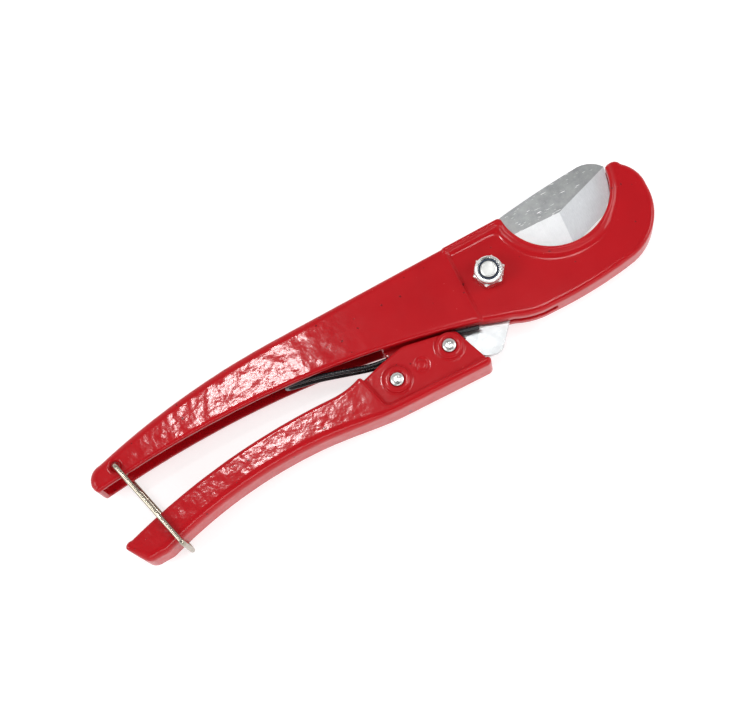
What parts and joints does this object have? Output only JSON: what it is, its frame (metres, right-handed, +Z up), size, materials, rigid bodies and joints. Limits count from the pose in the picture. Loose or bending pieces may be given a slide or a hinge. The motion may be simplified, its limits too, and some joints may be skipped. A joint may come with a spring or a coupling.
{
  "type": "ratchet pvc pipe cutter",
  "caption": "Hand-held ratchet cutter for plastic pipe: red cast handle with hook jaw, hinged lower handle, swinging steel blade and wire latch loop, lying closed on its side.",
  "frame": {"origin": "middle of the bounding box's base, where the tool lying on its side meets the table", "axes": "+X along the tool from the latch end to the hook jaw, +Y across the handles from the lower handle to the back of the blade, +Z up through the tool's thickness, along the pivot bolt, from the bolt's head to its nut"},
  "size_m": [0.2178, 0.0614, 0.0227],
  "materials": {
    "body_enamel": "gloss",
    "handle_enamel": "gloss",
    "blade_steel": "satin",
    "bolt_zinc": "satin",
    "nut_zinc": "satin",
    "insert_nylon": "satin",
    "hinge_rivet_zinc": "satin",
    "pawl_rivet_zinc": "satin",
    "spring_sleeve_near_steel": "satin",
    "spring_sleeve_far_steel": "satin",
    "pawl_spacer_near_steel": "satin",
    "pawl_spacer_far_steel": "satin",
    "pawl_steel": "satin",
    "handle_spring_black": "gloss",
    "pawl_spring_steel": "satin",
    "bail_nickel": "polished"
  },
  "bodies": {
    "body": {"body_casting": "body_enamel", "pivot_bolt": "bolt_zinc", "lock_nut": "nut_zinc", "nut_insert": "insert_nylon", "hinge_rivet": "hinge_rivet_zinc", "spring_sleeve_near": "spring_sleeve_near_steel", "spring_sleeve_far": "spring_sleeve_far_steel", "handle_spring": "handle_spring_black"},
    "lower_handle": {"lower_handle": "handle_enamel", "pawl_rivet": "pawl_rivet_zinc", "pawl_spacer_near": "pawl_spacer_near_steel", "pawl_spacer_far": "pawl_spacer_far_steel", "pawl_spring": "pawl_spring_steel"},
    "blade": {"blade": "blade_steel"},
    "pawl": {"ratchet_pawl": "pawl_steel"},
    "bail": {"wire_bail": "bail_nickel"}
  },
  "joints": [
    {"name": "handle_hinge", "type": "hinge", "parent": "body", "child": "lower_handle", "pos_m": [0.02257, -0.00812, 0.01025], "axis": [0, 0, 1], "range_deg": [0, 20], "deforming": ["handle_spring", "pawl_spring", "wire_bail"]},
    {"name": "blade_hinge", "type": "hinge", "parent": "body", "child": "blade", "pos_m": [0.04607, 0.00873, 0.01025], "axis": [0, 0, 1], "range_deg": [0, 55]},
    {"name": "pawl_hinge", "type": "hinge", "parent": "lower_handle", "child": "pawl", "pos_m": [0.00142, -0.01082, 0.01025], "axis": [0, 0, 1], "range_deg": [-6, 0]},
    {"name": "bail_hinge", "type": "hinge", "parent": "body", "child": "bail", "pos_m": [-0.09838, 0.00523, 0.01025], "axis": [0, 0, 1], "range_deg": [-200, 0]}
  ],
  "couplings": [
    {"joint": "blade_hinge", "follows": "handle_hinge", "ratio": 2.75},
    {"joint": "pawl_hinge", "follows": "handle_hinge", "ratio": -0.3}
  ]
}
